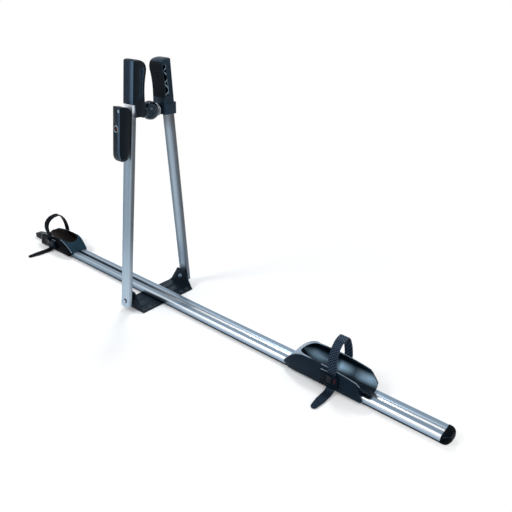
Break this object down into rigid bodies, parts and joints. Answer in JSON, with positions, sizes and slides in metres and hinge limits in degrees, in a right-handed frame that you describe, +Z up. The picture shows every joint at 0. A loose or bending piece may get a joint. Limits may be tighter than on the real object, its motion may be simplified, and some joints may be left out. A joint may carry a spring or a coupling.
{
  "type": "roof mounted bike carrier",
  "caption": "Aluminium rail on a steel foot bracket, with sliding wheel cradles and ratchet straps, and a folding twin-leg frame whose knob-tightened, lever-locked jaws clamp the down tube.",
  "frame": {"origin": "centre of the foot bracket's underside, where it stands on the roof bar", "axes": "+X along the rail to its rear end, +Z up, +Y to the side away from the clamp lever"},
  "size_m": [1.463, 0.2336, 0.634],
  "materials": {
    "anodised_aluminium": "brushed and anodised",
    "coated_steel": "black powder coat",
    "black_plastic": "fine grained",
    "gloss_plastic": "smooth",
    "rubber": "matt",
    "zinc_steel": "zinc plated"
  },
  "bodies": {
    "base": {"base_bracket": "coated_steel", "rail": "anodised_aluminium", "front_end_cap": "black_plastic", "rear_end_cap": "black_plastic", "rail_screws": "zinc_steel", "pivot_bolts": "zinc_steel"},
    "left_arm": {"left_leg": "anodised_aluminium", "left_foot_plug": "black_plastic", "left_pivot_bush": "black_plastic", "left_jaw": "black_plastic", "left_jaw_pad": "rubber", "left_jaw_screws": "zinc_steel", "cam_barrel": "zinc_steel"},
    "right_arm": {"right_leg": "anodised_aluminium", "right_foot_plug": "black_plastic", "right_pivot_bush": "black_plastic", "right_jaw": "black_plastic", "right_jaw_pad": "rubber", "right_jaw_screws": "zinc_steel", "rod_collar": "zinc_steel"},
    "knob": {"clamp_knob": "gloss_plastic", "tie_rod": "zinc_steel"},
    "lever": {"clamp_lever": "gloss_plastic", "lever_screw": "zinc_steel", "lock_housing": "zinc_steel"},
    "lock": {"lock_cylinder": "zinc_steel"},
    "front_tray": {"front_cradle": "black_plastic", "front_cradle_bolt": "zinc_steel", "front_cradle_nut": "zinc_steel", "front_strap": "rubber", "front_strap_rivet": "zinc_steel", "front_buckle": "black_plastic", "front_pawl_pin": "zinc_steel"},
    "rear_tray": {"rear_cradle": "black_plastic", "rear_cradle_bolt": "zinc_steel", "rear_cradle_nut": "zinc_steel", "rear_strap": "rubber", "rear_strap_rivet": "zinc_steel", "rear_buckle": "black_plastic", "rear_pawl_pin": "zinc_steel"},
    "front_release": {"front_pawl": "black_plastic"},
    "rear_release": {"rear_pawl": "black_plastic"}
  },
  "joints": [
    {"name": "frame_fold", "type": "hinge", "parent": "base", "child": "left_arm", "pos_m": [0, 0, 0.03], "axis": [0, 1, 0], "range_deg": [-70, 70]},
    {"name": "right_arm_open", "type": "hinge", "parent": "left_arm", "child": "right_arm", "pos_m": [0, 0.107, 0.03], "axis": [-1, 0, 0], "range_deg": [0, 1.8]},
    {"name": "knob_turn", "type": "hinge", "parent": "left_arm", "child": "knob", "pos_m": [0, 0, 0.51401], "axis": [0, 1, 0], "range_deg": [0, 1080]},
    {"name": "lever_open", "type": "hinge", "parent": "left_arm", "child": "lever", "pos_m": [0, -0.08403, 0.51401], "axis": [-1, 0, 0], "range_deg": [0, 75]},
    {"name": "lock_turn", "type": "hinge", "parent": "lever", "child": "lock", "pos_m": [0, -0.1, 0.48301], "axis": [0, -1, 0], "range_deg": [0, 90]},
    {"name": "front_cradle_slide", "type": "slide", "parent": "base", "child": "front_tray", "axis": [1, 0, 0], "range_m": [0, 0.12]},
    {"name": "rear_cradle_slide", "type": "slide", "parent": "base", "child": "rear_tray", "axis": [1, 0, 0], "range_m": [-0.12, 0.1]},
    {"name": "front_pawl_lift", "type": "hinge", "parent": "front_tray", "child": "front_release", "pos_m": [-0.479, -0.03582, 0.02481], "axis": [1, 0, 0], "range_deg": [0, 25], "stiffness_Nm_per_rad": 0.02},
    {"name": "rear_pawl_lift", "type": "hinge", "parent": "rear_tray", "child": "rear_release", "pos_m": [0.591, -0.03648, 0.02759], "axis": [1, 0, 0], "range_deg": [0, 25], "stiffness_Nm_per_rad": 0.02}
  ],
  "couplings": [
    {"joint": "right_arm_open", "follows": "knob_turn", "ratio": 0.0016667}
  ]
}
